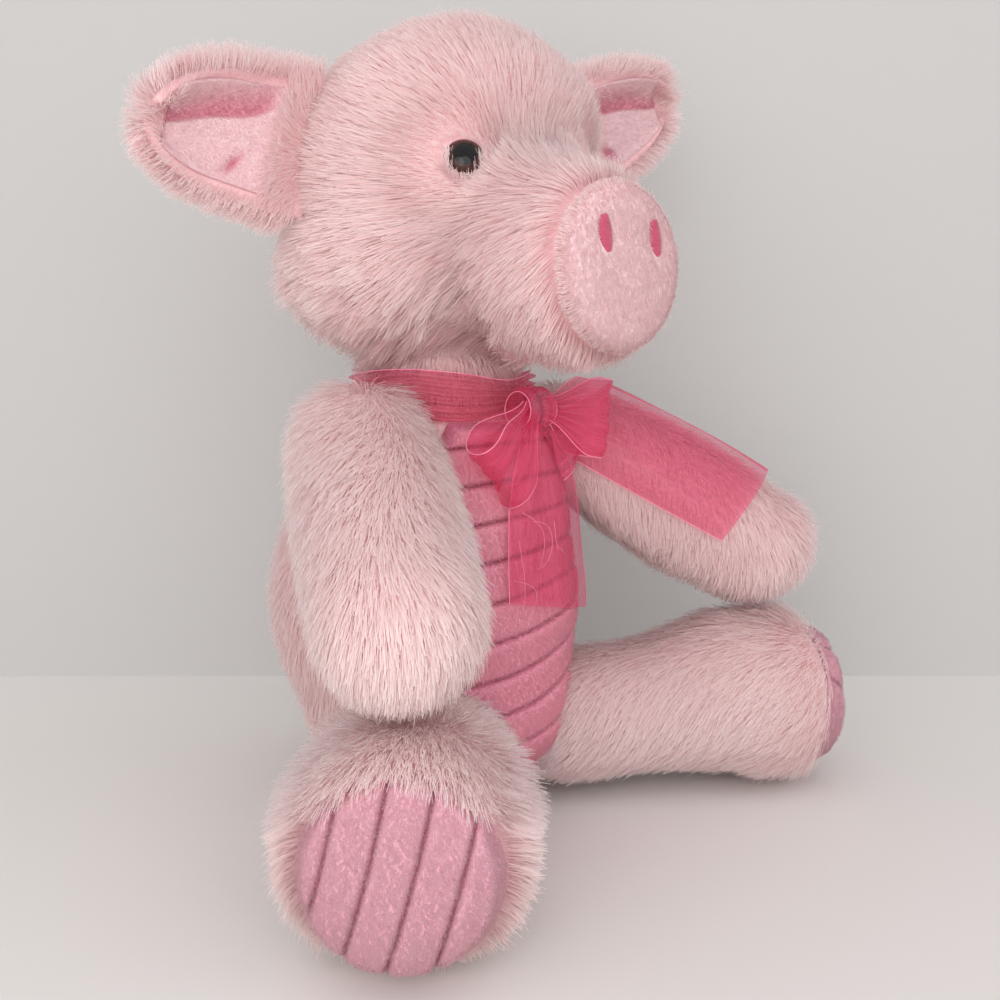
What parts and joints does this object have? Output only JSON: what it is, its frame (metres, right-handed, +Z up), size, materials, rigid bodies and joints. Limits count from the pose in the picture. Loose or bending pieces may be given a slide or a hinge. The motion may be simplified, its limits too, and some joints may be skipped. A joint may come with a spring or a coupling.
{
  "type": "plush pig",
  "caption": "Sitting plush pig with floppy ears, ribbed velour tummy and soles, glossy eyes and a sheer neck bow; head, ears, arms, legs and tail move.",
  "frame": {"origin": "on the floor under the body, on the seat's flat face", "axes": "+Z up; the pig looks along -Y and its left side is +X"},
  "size_m": [0.2298, 0.188, 0.25],
  "materials": {
    "fur": "long soft pile",
    "velour": "short ribbed pile",
    "lining": "short smooth pile",
    "ribbon": "sheer woven",
    "stitching": "satin stitch",
    "eye": "gloss",
    "filling": "loose fibre",
    "washer": "moulded"
  },
  "bodies": {
    "torso": {"torso_skin": "fur", "tummy_panel": "velour", "torso_filling": "filling", "pellet_bag": "filling", "neck_ribbon": "ribbon", "bow_knot": "ribbon", "bow_loop_right": "ribbon", "bow_loop_left": "ribbon", "ribbon_tail_belly": "ribbon", "ribbon_tail_chest": "ribbon"},
    "neck": {"neck_filling": "filling"},
    "head": {"head_skin": "fur", "head_filling": "filling", "snout_pad": "lining", "nostril_right": "stitching", "nostril_left": "stitching", "eye_right": "eye", "eye_left": "eye", "eye_washer_right": "washer", "eye_washer_left": "washer"},
    "right_ear": {"ear_right": "fur", "ear_lining_right": "lining"},
    "left_ear": {"ear_left": "fur", "ear_lining_left": "lining"},
    "right_arm": {"arm_right": "fur", "arm_filling_right": "filling"},
    "left_arm": {"arm_left": "fur", "arm_filling_left": "filling", "ribbon_tail_arm": "ribbon"},
    "right_leg": {"leg_right": "fur", "leg_filling_right": "filling", "sole_pad_right": "velour"},
    "left_leg": {"leg_left": "fur", "leg_filling_left": "filling", "sole_pad_left": "velour"},
    "tail": {"tail": "fur"}
  },
  "joints": [
    {"name": "head_turn", "type": "hinge", "parent": "torso", "child": "neck", "pos_m": [0, 0.002, 0.142], "axis": [0, 0, 1], "range_deg": [-25, 25], "stiffness_Nm_per_rad": 0.4},
    {"name": "head_nod", "type": "hinge", "parent": "neck", "child": "head", "pos_m": [0, 0.002, 0.142], "axis": [0.9962, -0.0872, 0], "range_deg": [-12, 4], "stiffness_Nm_per_rad": 1.2},
    {"name": "right_ear_flop", "type": "hinge", "parent": "head", "child": "right_ear", "pos_m": [-0.05596, 0.00489, 0.20682], "axis": [0.2986, -0.0261, 0.954], "range_deg": [-25, 25], "stiffness_Nm_per_rad": 0.02},
    {"name": "left_ear_flop", "type": "hinge", "parent": "head", "child": "left_ear", "pos_m": [0.05127, -0.00449, 0.21884], "axis": [0.3888, -0.034, -0.9207], "range_deg": [-25, 25], "stiffness_Nm_per_rad": 0.02},
    {"name": "right_arm_swing", "type": "hinge", "parent": "torso", "child": "right_arm", "pos_m": [-0.04452, -0.01, 0.12], "axis": [-0.8602, -0.3801, 0.3401], "range_deg": [0, 36], "stiffness_Nm_per_rad": 0.2},
    {"name": "left_arm_swing", "type": "hinge", "parent": "torso", "child": "left_arm", "pos_m": [0.04452, -0.01, 0.12], "axis": [-0.8602, 0.3801, -0.3401], "range_deg": [0, 36], "stiffness_Nm_per_rad": 0.2},
    {"name": "right_leg_splay", "type": "hinge", "parent": "torso", "child": "right_leg", "pos_m": [-0.03129, -0.02625, 0.0245], "axis": [0, 0, 1], "range_deg": [-10, 20], "stiffness_Nm_per_rad": 0.3},
    {"name": "left_leg_splay", "type": "hinge", "parent": "torso", "child": "left_leg", "pos_m": [0.03129, -0.02625, 0.0245], "axis": [0, 0, -1], "range_deg": [-10, 20], "stiffness_Nm_per_rad": 0.3},
    {"name": "tail_wag", "type": "hinge", "parent": "torso", "child": "tail", "pos_m": [0, 0.06233, 0.042], "axis": [0, 0, 1], "range_deg": [-17, 17], "stiffness_Nm_per_rad": 0.002}
  ]
}
